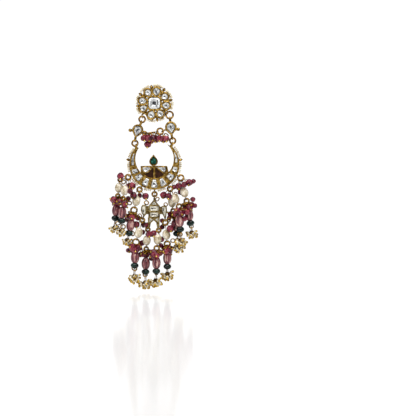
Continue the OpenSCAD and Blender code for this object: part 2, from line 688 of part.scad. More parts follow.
module rondelles_of(side) {
    profile = [[bore_r, -rondelle_h], [rondelle_r * 0.62, -rondelle_h], [rondelle_r, -rondelle_h * 0.3],
        [rondelle_r, rondelle_h * 0.3], [rondelle_r * 0.62, rondelle_h], [bore_r, rondelle_h]];
    color(green) for (i = side[0])
        along(rondelle_middle(DROPS[i]), melon_axis(DROPS[i])) rotate_extrude() polygon(profile);
}

module pearl(d) {
    steps = 8;
    last = 74;
    curve = [for (i = [0:steps]) let (t = -last + 2 * last * i / steps) [pearl_r * cos(t), pearl_h * sin(t)]];
    profile = concat([[bore_r, -pearl_h * sin(last)]], curve, [[bore_r, pearl_h * sin(last)]]);
    color(pearl_white) along(pearl_middle(d), pearl_axis(d)) rotate_extrude() polygon(profile);
}

// A fluted barrel, drilled along its length
module melon(d) {
    n = 16;
    flute = 0.9;
    rings = [[-1, 0.42, 1], [-0.8, 0.72, 1], [-0.35, 0.97, 1], [0.35, 0.97, 1], [0.8, 0.72, 1], [1, 0.42, 1],
        [1, bore_r / melon_r, 0], [-1, bore_r / melon_r, 0]];
    m = len(rings);
    corners = [for (k = rings) for (i = [0:n - 1])
        let (r = melon_r * k[1] * (k[2] == 1 && i % 2 == 1 ? flute : 1), p = polar(r, 360 * i / n))
        [p[0], p[1], melon_h * k[0]]];
    walls = [for (k = [0:m - 1]) for (i = [0:n - 1])
        let (j = (i + 1) % n, up = (k + 1) % m) [k * n + i, up * n + i, up * n + j, k * n + j]];
    color(mauve) along(melon_middle(d), melon_axis(d)) polyhedron(corners, walls, convexity = 6);
}

// A spray of seed pearls, fused to a hub that the drop's pin goes through
module spray(d, turn) {
    arms = [[0, -12], [60, -42], [120, -12], [180, -42], [240, -12], [300, -42]];
    color(pearl_white) translate(spray_middle(d)) difference() {
        union() {
            sphere(seed_hub_r);
            for (a = arms) {
                v = [cos(a[0] + turn) * cos(a[1]), sin(a[0] + turn) * cos(a[1]), sin(a[1])];
                translate(v * (seed_hub_r + 0.48)) sphere(seed_r);
            }
        }
        along([0, 0, 0], melon_axis(d)) cylinder(h = 4 * seed_hub_r, r = bore_r, center = true);
    }
}

module sprays_of(side) {
    for (i = side[0]) spray(DROPS[i], i % 6 * 25 + floor(i / 6) * 8);
}

stud_frame();
ear_post();
stud_centre_stone();
stud_petal_stones();
stud_seed_strand();
left_jump_ring();
right_jump_ring();
left_pear_setting();
right_pear_setting();
left_pear_stone();
right_pear_stone();
left_tip_ring();
right_tip_ring();
bridge_wire();
bridge_beads();
crescent_frame();
crescent_stones();
emerald_drop_stone();
side_stones();
crescent_seed_strand();
pendant_ring();
pendant_frame();
pendant_roof_stone();
pendant_upper_bar_stone();
pendant_lower_bar_stone();
pendant_left_wing_stone();
pendant_right_wing_stone();
pendant_tail_stones();
pearl(DROPS[0]);  // pearl_1
pearl(DROPS[1]);  // pearl_2
pearl(DROPS[2]);  // pearl_3
pearl(DROPS[3]);  // pearl_4
pearl(DROPS[4]);  // pearl_5
pearl(DROPS[5]);  // pearl_6
pearl(DROPS[6]);  // pearl_7
pearl(DROPS[7]);  // pearl_8
pearl(DROPS[8]);  // pearl_9
pearl(DROPS[9]);  // pearl_10
melon(DROPS[0]);  // melon_1
melon(DROPS[1]);  // melon_2
melon(DROPS[2]);  // melon_3
melon(DROPS[3]);  // melon_4
melon(DROPS[4]);  // melon_5
melon(DROPS[5]);  // melon_6
melon(DROPS[6]);  // melon_7
melon(DROPS[7]);  // melon_8
melon(DROPS[8]);  // melon_9
melon(DROPS[9]);  // melon_10
wires_of(LEFT);  // left_drop_wires
wires_of(RIGHT);  // right_drop_wires
wires_of(UNDER);  // pendant_drop_wires
pink_beads_of(LEFT);  // left_pink_beads
pink_beads_of(RIGHT);  // right_pink_beads
pink_beads_of(UNDER);  // pendant_pink_beads
rondelles_of(LEFT);  // left_rondelles
rondelles_of(RIGHT);  // right_rondelles
rondelles_of(UNDER);  // pendant_rondelles
sprays_of(LEFT);  // left_sprays
sprays_of(RIGHT);  // right_sprays
sprays_of(UNDER);  // pendant_sprays
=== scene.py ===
# %% [markdown]
# # A chandbali earring, dressed
# The solids come in as a fixed frame: a pierced stud, two pear links, a crescent, a small pendant and ten bead
# drops. This lesson gives them their finishes and replaces the plain beads, pearls and stones by finer ones.
# Everything is in metres, the front faces -Y and the origin is at the back of the stud.

# %% Load the frame and keep its size
import json
import math
import random
import bpy
import numpy as np
from mathutils import Matrix, Vector


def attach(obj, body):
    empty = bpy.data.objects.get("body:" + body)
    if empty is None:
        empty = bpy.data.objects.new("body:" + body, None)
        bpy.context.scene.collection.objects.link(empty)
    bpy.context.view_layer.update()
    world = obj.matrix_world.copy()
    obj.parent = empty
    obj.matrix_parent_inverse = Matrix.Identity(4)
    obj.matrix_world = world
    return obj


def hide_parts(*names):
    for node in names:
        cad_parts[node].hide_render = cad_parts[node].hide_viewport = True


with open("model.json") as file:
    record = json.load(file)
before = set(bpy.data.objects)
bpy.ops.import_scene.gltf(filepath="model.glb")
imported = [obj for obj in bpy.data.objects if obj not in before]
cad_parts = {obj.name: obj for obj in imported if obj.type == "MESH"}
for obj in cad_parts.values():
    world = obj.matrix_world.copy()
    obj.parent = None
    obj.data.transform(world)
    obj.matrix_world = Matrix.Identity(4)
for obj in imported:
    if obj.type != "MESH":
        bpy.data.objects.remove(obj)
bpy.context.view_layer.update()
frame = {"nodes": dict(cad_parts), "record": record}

MM = 0.001
nodes = frame["nodes"]

# %% [markdown]
# ## Camera, floor and light
# The photo is a square of 416 pixels in which half a millimetre is one pixel, taken straight from the front with a
# long lens. A camera could be fitted by eye, but the scale is known, so its place and its lens follow from it. The
# earring stands left of the middle, as in the photo. Background and floor are one bright sweep: a plane with its back
# edge pulled up and the fold rounded. It glows a little by itself, so it stays white where the soft light is weak, and
# a thin glossy coat on a matt base gives the faint reflection under the lowest drops.

# %% Camera at the photo's view
photo_px = 416
mm_per_px = 0.5
stud_px = (154.4, 103.4)
distance = 1.5
look_x = (photo_px / 2 - stud_px[0]) * mm_per_px * MM
look_z = (stud_px[1] - photo_px / 2) * mm_per_px * MM
bpy.ops.object.camera_add(location=(look_x, -distance, look_z), rotation=(math.pi / 2, 0, 0))
camera = bpy.context.object
camera.name = "photo_camera"
camera.data.sensor_width = 36
camera.data.lens = 36 * distance / (photo_px * mm_per_px * MM)
camera.data.clip_start = 0.05
camera.data.clip_end = 20
bpy.context.scene.camera = camera
bpy.context.scene.view_settings.view_transform = "Standard"
print("lens", round(camera.data.lens, 1), "mm at", distance, "m")

# %% Pale sweep under and behind the earring
def deselect():
    if bpy.context.object and bpy.context.object.mode != "OBJECT":
        bpy.ops.object.mode_set(mode="OBJECT")
    bpy.ops.object.select_all(action="DESELECT")

def make_active(piece):
    deselect()
    piece.select_set(True)
    bpy.context.view_layer.objects.active = piece

def new_material(name):
    finish = bpy.data.materials.new(name)
    finish.use_nodes = True
    return finish, finish.node_tree.nodes, finish.node_tree.links

floor_z = -94.6 * MM
floor_y = 0.6
floor_size = 6
deselect()
bpy.ops.mesh.primitive_plane_add(size=floor_size, location=(0, floor_y, floor_z))
floor = bpy.context.object
floor.name = "pale_floor"
bpy.ops.object.mode_set(mode="EDIT")
bpy.ops.transform.resize(value=(0.36, 1, 1), center_override=(0, floor_y, floor_z))
bpy.ops.mesh.select_all(action="DESELECT")
bpy.ops.object.mode_set(mode="OBJECT")
for edge in floor.data.edges:
    ends = [floor.data.vertices[v].co.y for v in edge.vertices]
    edge.select = min(ends) > floor_size / 2 - 0.1
bpy.ops.object.mode_set(mode="EDIT")
bpy.ops.mesh.extrude_region_move(TRANSFORM_OT_translate={"value": (0, 0, 3.5)})
bpy.ops.mesh.select_all(action="SELECT")
bpy.ops.mesh.bevel(offset=0.9, segments=12)
bpy.ops.object.mode_set(mode="OBJECT")
bpy.ops.object.shade_smooth()
sweep_white, n, l = new_material("sweep_white")
shader = n["Principled BSDF"]
shader.inputs["Base Color"].default_value = (0.25, 0.25, 0.25, 1)
shader.inputs["Roughness"].default_value = 0.6
shader.inputs["Specular IOR Level"].default_value = 0.0
shader.inputs["Coat Weight"].default_value = 0.5
shader.inputs["Coat Roughness"].default_value = 0.085
shader.inputs["Emission Color"].default_value = (1, 1, 1, 1)
place = n.new("ShaderNodeTexCoord")
axes = n.new("ShaderNodeSeparateXYZ")
glow = n.new("ShaderNodeMapRange")
glow.inputs["From Min"].default_value = 0.0
glow.inputs["From Max"].default_value = 0.1
glow.inputs["To Min"].default_value = 0.93
glow.inputs["To Max"].default_value = 0.99
l.new(place.outputs["Object"], axes.inputs["Vector"])
l.new(axes.outputs["Z"], glow.inputs["Value"])
l.new(glow.outputs["Result"], shader.inputs["Emission Strength"])
floor.data.materials.append(sweep_white)
print("floor at", round(floor_z / MM, 1), "mm")

# %% Soft light from above, the sides and the front
def softbox(name, place, target, size, power):
    bpy.ops.object.light_add(type="AREA", location=place)
    lamp = bpy.context.object
    lamp.name = name
    lamp.data.shape = "RECTANGLE"
    lamp.data.size, lamp.data.size_y = size
    lamp.data.energy = power
    lamp.rotation_euler = (Vector(target) - Vector(place)).to_track_quat("-Z", "Y").to_euler()

middle = (0, 0, -0.045)
softbox("top_softbox", (0, -0.25, 0.55), middle, (0.7, 0.5), 4.0)
softbox("left_softbox", (-0.7, -0.5, 0.15), middle, (0.35, 0.8), 3.3)
softbox("right_softbox", (0.75, -0.45, 0.1), middle, (0.3, 0.8), 2.3)
softbox("front_softbox", (0.15, -1.1, 0.45), middle, (0.4, 0.3), 2.8)

world = bpy.context.scene.world or bpy.data.worlds.new("world")
bpy.context.scene.world = world
world.use_nodes = True
world.node_tree.nodes["Background"].inputs["Color"].default_value = (1, 1, 1, 1)
world.node_tree.nodes["Background"].inputs["Strength"].default_value = 0.1

# %% [markdown]
# ## Finishes
# The gold is a warm, matt-polished plate that has gone brown in its corners. A single gold colour looks like plastic,
# so the colour wanders between a bright and a tarnished tone over about a millimetre, the roughness follows it, and a
# fine bump breaks the reflections. The edge tint keeps thin wires dark against the white sweep. All patterns use
# Object coordinates, so they stay on the piece from every side.

# %% A helper for mottled finishes, then the golds
def mottle(n, l, scale, tones, detail=3.0, at=(0.35, 0.65), stretch=1.0):
    coords = n.new("ShaderNodeTexCoord")
    lay = n.new("ShaderNodeMapping")
    lay.inputs["Scale"].default_value = (1, 1, stretch)
    l.new(coords.outputs["Object"], lay.inputs["Vector"])
    noise = n.new("ShaderNodeTexNoise")
    noise.inputs["Scale"].default_value = scale
    noise.inputs["Detail"].default_value = detail
    l.new(lay.outputs["Vector"], noise.inputs["Vector"])
    ramp = n.new("ShaderNodeValToRGB")
    stops = ramp.color_ramp.elements
    while len(stops) < len(tones):
        stops.new(0.5)
    for i, tone in enumerate(tones):
        stops[i].position = at[0] + (at[1] - at[0]) * i / (len(tones) - 1)
        stops[i].color = (*tone, 1)
    l.new(noise.outputs["Fac"], ramp.inputs["Fac"])
    return noise, ramp

def fine_bump(n, l, shader, source, strength, depth):
    bump = n.new("ShaderNodeBump")
    bump.inputs["Strength"].default_value = strength
    bump.inputs["Distance"].default_value = depth
    l.new(source, bump.inputs["Height"])
    l.new(bump.outputs["Normal"], shader.inputs["Normal"])

def gold_finish(name, tones, rough=(0.26, 0.45), scale=900, edge=(0.14, 0.07, 0.018, 1)):
    finish, n, l = new_material(name)
    shader = n["Principled BSDF"]
    shader.inputs["Metallic"].default_value = 1.0
    shader.inputs["Specular Tint"].default_value = edge
    noise, ramp = mottle(n, l, scale, tones)
    l.new(ramp.outputs["Color"], shader.inputs["Base Color"])
    worn = n.new("ShaderNodeMapRange")
    worn.inputs["To Min"].default_value = rough[1]
    worn.inputs["To Max"].default_value = rough[0]
    l.new(noise.outputs["Fac"], worn.inputs["Value"])
    l.new(worn.outputs["Result"], shader.inputs["Roughness"])
    fine_bump(n, l, shader, noise.outputs["Fac"], 0.35, 0.00006)
    return finish

gold = gold_finish("old_gold", [(0.09, 0.045, 0.006), (0.29, 0.17, 0.035), (0.58, 0.38, 0.105)],
                   edge=(0.05, 0.02, 0.003, 1))
wire_gold = gold_finish("wire_gold", [(0.06, 0.026, 0.004), (0.26, 0.13, 0.02), (0.56, 0.33, 0.07)],
                        edge=(0.03, 0.012, 0.002, 1))
pale_gold = gold_finish("pale_gold", [(0.07, 0.038, 0.009), (0.21, 0.14, 0.045), (0.42, 0.32, 0.13)],
                        edge=(0.05, 0.03, 0.008, 1))
# Painted shade: this much darker gold stands in for the shade in the core of each spray's tangled knot.
knot_gold_painted_shade = gold_finish("tangled_gold_painted_shade", [(0.02, 0.008, 0.001), (0.10, 0.05, 0.01), (0.34, 0.2, 0.05)],
                        edge=(0.02, 0.01, 0.002, 1), scale=1400)
bright_gold = gold_finish("bright_granule_gold", [(0.14, 0.075, 0.009), (0.47, 0.295, 0.05), (0.78, 0.56, 0.14)],
                          rough=(0.22, 0.38), edge=(0.2, 0.08, 0.01, 1))
print("golds", [g.name for g in (gold, wire_gold, pale_gold, knot_gold_painted_shade, bright_gold)])

# %% [markdown]
# Cut crystal in this kind of setting lies on bright foil. It looks white-grey with one dark flare in the middle, and
# not like a clear window. A glass shader over real foil would need long renders, so the stone gets a glossy coat over
# pale silver facets. The flare is made of real facets under the table whose dark tone is a painted dark reflection, and
# some facets carry a grey tone that paints a dimmer reflection.

# %% Stones, pearls and beads
def glossy_finish(name, tones, scale, rough, coat=0.0, detail=3.0, bump=0.0, at=(0.35, 0.65), metal=0.0,
                  milky=0.0, ior=1.5, stretch=1.0, shine=0.5):
    finish, n, l = new_material(name)
    shader = n["Principled BSDF"]
    noise, ramp = mottle(n, l, scale, tones, detail, at, stretch)
    l.new(ramp.outputs["Color"], shader.inputs["Base Color"])
    shader.inputs["Roughness"].default_value = rough
    shader.inputs["Coat Weight"].default_value = coat
    shader.inputs["Coat Roughness"].default_value = 0.04
    shader.inputs["Metallic"].default_value = metal
    shader.inputs["IOR"].default_value = ior
    shader.inputs["Specular IOR Level"].default_value = shine
    shader.inputs["Subsurface Weight"].default_value = milky
    shader.inputs["Subsurface Radius"].default_value = (0.0009, 0.0007, 0.0006)
    if bump:
        fine_bump(n, l, shader, noise.outputs["Fac"], bump, 0.00008)
    return finish

crystal = glossy_finish("crystal_on_foil", [(0.50, 0.51, 0.50), (0.74, 0.75, 0.73), (0.88, 0.88, 0.86)], 700, 0.08,
                        coat=0.6, metal=0.25)
# Painted reflection: the grey facet tone stands in for dimmer reflections in the stone, not for a colour of its own.
crystal_painted_grey_reflection = glossy_finish("crystal_facet_painted_grey_reflection", [(0.30, 0.31, 0.32), (0.55, 0.56, 0.56)], 900, 0.1, coat=0.7,
                             metal=0.3)
crystal_warm = glossy_finish("crystal_warm_facet", [(0.36, 0.34, 0.26), (0.58, 0.55, 0.45), (0.76, 0.73, 0.63)], 700,
                             0.1, coat=0.6, metal=0.2)
# Painted reflection: this near-black tone paints the dark flare reflected in the middle of each stone.
crystal_painted_dark_reflection = glossy_finish("crystal_flare_painted_dark_reflection", [(0.012, 0.012, 0.014), (0.06, 0.06, 0.065)], 900, 0.16, coat=0.5)
emerald = glossy_finish("emerald_green", [(0.001, 0.010, 0.007), (0.004, 0.040, 0.028), (0.02, 0.12, 0.085)], 800, 0.07,
                        coat=0.35, shine=0.3)
# Painted shade: a near-black brown that stands in for the shade in the recess under the green drop.
recess_painted_shade = glossy_finish("recess_painted_shade", [(0.016, 0.004, 0.001), (0.06, 0.018, 0.003)], 900, 0.5, ior=1.25)
seed_white = glossy_finish("seed_pearl_white", [(0.42, 0.32, 0.16), (0.74, 0.66, 0.47), (0.92, 0.88, 0.76)], 500,
                           0.25, coat=0.35, milky=0.15, shine=0.4)
pearl_cream = glossy_finish("oval_pearl_cream", [(0.33, 0.25, 0.13), (0.60, 0.52, 0.37), (0.83, 0.77, 0.65)], 420,
                            0.18, coat=0.7, bump=0.25, milky=0.15)
pink_stone = glossy_finish("pink_red_stone", [(0.024, 0.002, 0.006), (0.135, 0.009, 0.024), (0.36, 0.055, 0.08)], 420,
                           0.16, coat=0.16, detail=5.0, bump=0.3, at=(0.33, 0.7), shine=0.25)
# Partly painted highlight: the pale top tone, stretched lengthwise, paints highlight streaks on the flutes over the
# stone's own streaky mauve.
mauve_painted_highlights = glossy_finish("mauve_melon_stone", [(0.035, 0.005, 0.011), (0.12, 0.026, 0.036), (0.27, 0.09, 0.095),
                                                  (0.72, 0.50, 0.42)], 1100, 0.14, coat=0.18, bump=0.1,
                            at=(0.33, 0.68), milky=0.05, stretch=0.1, shine=0.3)
green_black = glossy_finish("green_black_stone", [(0.001, 0.004, 0.0035), (0.003, 0.018, 0.014), (0.01, 0.05, 0.04)],
                            500, 0.12, coat=0.15, at=(0.4, 0.75), shine=0.2)
print("finishes", len(bpy.data.materials))

# %% [markdown]
# ## Frames, rings and pins from the CAD
# The pierced stud, the pear settings, the crescent, the pendant, the rings and the pins keep their solids. Only their
# finish changes: one gold for the settings, a slightly browner one for wires and rings, and a paler one for the
# pendant, where little gold shows between the stones. All other nodes are replaced further on, and are pearl white
# until then.

# %% Give each carried-over node its finish
def dress(piece, finish):
    piece.data.materials.clear()
    piece.data.materials.append(finish)

finish_of = {
    "stud_frame": gold, "ear_post": wire_gold, "left_jump_ring": wire_gold, "right_jump_ring": wire_gold,
    "left_pear_setting": gold, "right_pear_setting": gold, "left_tip_ring": wire_gold, "right_tip_ring": wire_gold,
    "bridge_wire": wire_gold, "crescent_frame": gold, "pendant_ring": wire_gold, "pendant_frame": pale_gold,
    "left_drop_wires": wire_gold, "right_drop_wires": wire_gold, "pendant_drop_wires": wire_gold,
    "emerald_drop_stone": emerald}
for name, node in nodes.items():
    dress(node, finish_of.get(name, seed_white))
print("dressed", len(nodes), "nodes")

# %% [markdown]
# ## Measuring the frame
# The finer pieces stand exactly where the plain solids are. Each CAD node is a triangle mesh, sometimes of several
# loose solids, so a small reader merges its corners, splits it into solids, and gives each one's middle and its three
# main directions. Nothing has to be typed in twice, and a change of the CAD moves the finer pieces with it.

# %% Loose solids of a node, with their middle and directions
def solids_of(name):
    mesh = nodes[name].data
    points = np.array([v.co for v in mesh.vertices])
    _, first, back = np.unique(np.round(points / 1e-6).astype(np.int64), axis=0, return_index=True,
                               return_inverse=True)
    back = back.ravel()
    points = points[first]
    parent = list(range(len(points)))

    def root(i):
        while parent[i] != i:
            parent[i] = parent[parent[i]]
            i = parent[i]
        return i

    faces = [[int(back[v]) for v in p.vertices] for p in mesh.polygons]
    for face in faces:
        for v in face[1:]:
            parent[root(v)] = root(face[0])
    groups = {}
    for i in range(len(points)):
        groups.setdefault(root(i), []).append(i)
    solids = []
    for group in groups.values():
        if len(group) < 8:
            continue
        mine = set(group)
        p = points[group]
        low, high = p.min(axis=0), p.max(axis=0)
        spread = np.linalg.eigh(np.cov((p - p.mean(axis=0)).T))
        solids.append({"points": p, "faces": [f for f in faces if f[0] in mine], "all": points,
                       "middle": (low + high) / 2, "low": low, "high": high, "widths": spread[0],
                       "axes": spread[1].T})
    return sorted(solids, key=lambda s: (round(float(s["middle"][0]), 5), round(float(s["middle"][2]), 5)))

for name in ("stud_petal_stones", "crescent_stones", "left_pink_beads", "left_sprays"):
    print(name, len(solids_of(name)))

# %% Helpers that place copies of a modelled piece and join them to one
def at_place(middle, along=None, size=1.0, spin=0.0):
    turn = Vector(along).to_track_quat("Z", "Y").to_matrix().to_4x4() if along is not None else Matrix()
    return Matrix.Translation(Vector(middle)) @ turn @ Matrix.Rotation(spin, 4, "Z") @ Matrix.Scale(size, 4)

def copies(master, places):
    made = []
    for place in places:
        piece = master.copy()
        piece.data = master.data.copy()
        bpy.context.collection.objects.link(piece)
        piece.matrix_world = place
        made.append(piece)
    return made

def joined(parts, name):
    deselect()
    for part in parts:
        part.select_set(True)
    bpy.context.view_layer.objects.active = parts[0]
    if len(parts) > 1:
        bpy.ops.object.join()
    bpy.ops.object.transform_apply(location=True, rotation=True, scale=True)
    piece = bpy.context.object
    piece.name = name
    piece.data.name = name
    return piece

def settle(piece, body, *replaced):
    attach(piece, body)
    if replaced:
        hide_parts(*replaced)

def put_away(master):
    bpy.data.objects.remove(master, do_unlink=True)

def edit(piece, pick=None, kind="VERT"):
    make_active(piece)
    bpy.ops.object.mode_set(mode="EDIT")
    bpy.ops.mesh.select_mode(type=kind)
    bpy.ops.mesh.select_all(action="DESELECT" if pick else "SELECT")
    if pick:
        bpy.ops.object.mode_set(mode="OBJECT")
        parts = {"VERT": piece.data.vertices, "FACE": piece.data.polygons}[kind]
        for part in parts:
            part.select = pick(part)
        bpy.ops.object.mode_set(mode="EDIT")

def done():
    bpy.ops.object.mode_set(mode="OBJECT")

def rod_between(start, stop, wire, finish=wire_gold):
    deselect()
    run = Vector(stop) - Vector(start)
    bpy.ops.mesh.primitive_cylinder_add(vertices=6, radius=wire, depth=run.length, location=(0, 0, 0))
    rod = bpy.context.object
    bpy.ops.object.shade_smooth()
    rod.matrix_world = at_place((Vector(start) + Vector(stop)) / 2, run)
    rod.data.materials.append(finish)
    return rod

def new_ball(segments, rings, radius, place=(0, 0, 0)):
    deselect()
    bpy.ops.mesh.primitive_uv_sphere_add(segments=segments, ring_count=rings, radius=radius, location=place)
    return bpy.context.object

def soften(piece):
    make_active(piece)
    piece.modifiers.new("soft", "SUBSURF")
    piece.modifiers["soft"].levels = piece.modifiers["soft"].render_levels = 1
    bpy.ops.object.modifier_apply(modifier="soft")
    bpy.ops.object.shade_smooth()

print("helpers ready")

# %% [markdown]
# ## Cut stones
# Each stone keeps the outline of its CAD stone, which is read from the edges at its girdle. A flat face is filled in
# that outline, extruded forward and drawn in to a crown of bevels, then inset to a table. The table steps back in two
# rings of facets and is poked to a fan in the middle, so it glints like the foiled bottom of a flat-cut stone. The fan
# is the dark flare, most of its facets with a painted dark reflection, and the ring round it is a mix of light facets
# and facets with painted grey and dark reflections.

# %% The girdle outline of a CAD stone
def girdle(solid):
    points, faces = solid["all"], solid["faces"]
    used = sorted({v for f in faces for v in f})
    depth = (solid["low"][1] + solid["high"][1]) / 2
    depths = sorted({round(float(points[v][1]), 6) for v in used})
    level = min(depths[1:-1] or depths, key=lambda d: abs(d - depth))
    ring = {v for v in used if abs(points[v][1] - level) < 2e-6}
    near = {v: set() for v in ring}
    for f in faces:
        for a, b in zip(f, f[1:] + f[:1]):
            if a in ring and b in ring:
                near[a].add(b)
                near[b].add(a)
    start = min(ring)
    loop = [start]
    while True:
        ahead = [v for v in near[loop[-1]] if v not in loop]
        if not ahead:
            return [tuple(points[v]) for v in loop]
        loop.append(min(ahead, key=lambda v: float(np.linalg.norm(points[v] - points[loop[-1]]))))

outline = girdle(solids_of("stud_centre_stone")[0])
print("centre stone outline", len(outline), "corners")

# %% Model one stone on its outline
def cut_stone(outline, front, name, light, grey, dark, table=0.7, flare=0.5, seed=1):
    mesh = bpy.data.meshes.new(name)
    mesh.from_pydata(outline, [], [list(range(len(outline)))])
    stone = bpy.data.objects.new(name, mesh)
    bpy.context.collection.objects.link(stone)
    for finish in (light, grey, dark):
        mesh.materials.append(finish)
    middle = sum((Vector(p) for p in outline), Vector()) / len(outline)
    pivot = (middle.x, front, middle.z)
    rise = front - outline[0][1]
    edit(stone)
    bpy.ops.mesh.select_mode(type="FACE")
    bpy.ops.mesh.extrude_region_move(TRANSFORM_OT_translate={"value": (0, rise * 0.55, 0)})
    bpy.ops.transform.resize(value=(0.93, 1, 0.93), center_override=pivot)
    bpy.ops.mesh.extrude_region_move(TRANSFORM_OT_translate={"value": (0, rise * 0.45, 0)})
    bpy.ops.transform.resize(value=(table / 0.93, 1, table / 0.93), center_override=pivot)
    bpy.ops.mesh.extrude_region_move(TRANSFORM_OT_translate={"value": (0, -rise * 0.05, 0)})
    bpy.ops.transform.resize(value=(0.74, 1, 0.74), center_override=pivot)
    bpy.ops.mesh.extrude_region_move(TRANSFORM_OT_translate={"value": (0, -rise * 0.1, 0)})
    bpy.ops.transform.resize(value=(flare, 1, flare), center_override=pivot)
    bpy.ops.mesh.poke(offset=0)
    bpy.ops.mesh.select_all(action="SELECT")
    bpy.ops.mesh.normals_make_consistent(inside=False)
    done()
    # Facet tones: the fan's facets and some of the ring's get the painted dark and grey reflections, picked at random.
    dice = random.Random(seed)
    for face in mesh.polygons:
        face.use_smooth = False
        level = (face.center.y - outline[0][1]) / rise
        if len(face.vertices) == 3:
            face.material_index = 2 if dice.random() < 0.72 else 1
        elif 0.86 < level < 0.98:
            face.material_index = dice.choice((0, 0, 1, 1, 2))
        elif dice.random() < 0.25:
            face.material_index = 1
    return stone

print("stone modeller ready")

# %% [markdown]
# In this setting the gold is pushed up to each stone as a thin wall. A bevel on the frame would be too fine to see,
# and the frame's own mesh must stay, so the wall is a wire of its own: the stone's outline, turned to a curve, made
# round and turned back to a mesh. The rows further down give each stone's table as a share of its outline, and its
# flare as a share of the step round it.

# %% Thin gold wall round an outline
def wall_wire(outline, depth, wire, name, closed=True, grow=1.0):
    middle = sum((Vector(p) for p in outline), Vector()) / len(outline)
    corners = []
    for p in outline:
        v = Vector(p) - middle
        v = v * (1 + grow * MM / max(v.length, 1e-6))
        corners.append((middle.x + v.x, depth, middle.z + v.z))
    mesh = bpy.data.meshes.new(name)
    count = len(corners)
    edges = [(i, (i + 1) % count) for i in range(count if closed else count - 1)]
    mesh.from_pydata(corners, edges, [])
    ring = bpy.data.objects.new(name, mesh)
    bpy.context.collection.objects.link(ring)
    make_active(ring)
    bpy.ops.object.convert(target="CURVE")
    ring = bpy.context.object
    ring.data.bevel_depth = wire
    ring.data.bevel_resolution = 2
    bpy.ops.object.convert(target="MESH")
    ring = bpy.context.object
    bpy.ops.object.shade_smooth()
    return ring

print("wall modeller ready")

# %% Set every clear stone and its wall
body_of_node = {node: body for body, group in frame["record"]["behaviour"]["bodies"].items() for node in group}
stone_nodes = {
    "stud_centre_stone": (0.70, 0.62), "stud_petal_stones": (0.68, 0.55), "left_pear_stone": (0.70, 0.5),
    "right_pear_stone": (0.70, 0.5), "crescent_stones": (0.72, 0.5), "side_stones": (0.7, 0.5),
    "pendant_roof_stone": (0.7, 0.5), "pendant_upper_bar_stone": (0.8, 0.55), "pendant_lower_bar_stone": (0.8, 0.55),
    "pendant_left_wing_stone": (0.75, 0.5), "pendant_right_wing_stone": (0.75, 0.5), "pendant_tail_stones": (0.7, 0.5)}
walls = {"stud": [], "crescent": [], "pendant": []}
for name, (table, flare) in stone_nodes.items():
    parts = []
    for k, solid in enumerate(solids_of(name)):
        outline = girdle(solid)
        front = float(solid["low"][1])
        # Long narrow stones take the painted grey reflection in place of their light tone, so they read darker.
        narrow = solid["widths"][2] > 9 * solid["widths"][1]
        tones = (crystal_painted_grey_reflection, crystal_painted_grey_reflection, crystal_painted_dark_reflection) if narrow else (crystal, crystal_painted_grey_reflection, crystal_painted_dark_reflection)
        if name.startswith("pendant"):
            tones = (crystal_warm, crystal_warm, crystal_painted_dark_reflection)
        parts.append(cut_stone(outline, front, name, *tones, table, flare, k + 3))
        bold = 0.45 if name.startswith(("stud", "left", "right")) else 0.22
        walls[body_of_node[name]].append(wall_wire(outline, front + 0.5 * MM, bold * MM, name, grow=bold + 0.02))
    piece = joined(parts, name.replace("stone", "crystal"))
    settle(piece, body_of_node[name], name)
    print(piece.name, len(parts), "stones")

solid = solids_of("emerald_drop_stone")[0]
walls["crescent"].append(wall_wire(girdle(solid), float(solid["low"][1]) + 0.45 * MM, 0.17 * MM, "drop", grow=0.16))
for body, parts in walls.items():
    piece = joined(parts, body + "_stone_walls")
    dress(piece, pale_gold if body == "pendant" else gold)
    settle(piece, body)
    print(piece.name, len(piece.data.polygons), "faces")

# %% [markdown]
# ## Crescent edges and the dark fan
# A raised wire runs along the crescent's outer and inner edge, which catches the light and gives the plain plate its
# border. Under the green drop, two dark fan-shaped fields lie left and right of a gold stem; they are sheets whose
# near-black colour paints the shade of the recess there. The border is a curve made round. Each field is a flat face,
# extruded a tenth of a millimetre.

# %% Border wires along both edges of the crescent
crescent_front = -2.4 * MM
crescent_z_mm = -30.55

def arc_points(centre, radius, start, stop, count):
    steps = [math.radians(start + (stop - start) * i / (count - 1)) for i in range(count)]
    return [(centre[0] + radius * math.cos(a), crescent_front, centre[1] + radius * math.sin(a)) for a in steps]

outer = arc_points((0, crescent_z_mm * MM), 12.44 * MM, 51, -218, 90)
inner = arc_points((0.1 * MM, -27.8 * MM), 9.76 * MM, 47.5, -212, 70)
parts = [wall_wire(outer, crescent_front, 0.19 * MM, "outer", closed=False, grow=0),
         wall_wire(inner, crescent_front, 0.16 * MM, "inner", closed=False, grow=0)]
border = joined(parts, "crescent_border")
dress(border, gold)
settle(border, "crescent")
print("border", len(border.data.polygons), "faces")

# %% Dark fields of painted shade left and right of the stem
def field(points, name):
    mesh = bpy.data.meshes.new(name)
    mesh.from_pydata([(x * MM, -1.19 * MM, z * MM) for x, z in points], [], [list(range(len(points)))])
    fan = bpy.data.objects.new(name, mesh)
    bpy.context.collection.objects.link(fan)
    edit(fan)
    bpy.ops.mesh.extrude_region_move(TRANSFORM_OT_translate={"value": (0, -0.12 * MM, 0)})
    bpy.ops.mesh.select_all(action="SELECT")
    bpy.ops.mesh.normals_make_consistent(inside=False)
    done()
    mesh.materials.append(recess_painted_shade)
    return fan

left_fan = field([(-0.5, -32.2), (-0.5, -37.3), (-2.4, -37.0), (-4.0, -36.3), (-5.0, -35.5), (-3.3, -34.3)], "left")
right_fan = field([(0.4, -32.2), (3.4, -34.4), (4.9, -35.3), (3.9, -36.4), (2.4, -37.0), (0.4, -37.3)], "right")
fans = joined([left_fan, right_fan], "painted_shade_fan_fields")
settle(fans, "crescent")
print("dark fields", len(fans.data.polygons), "faces")

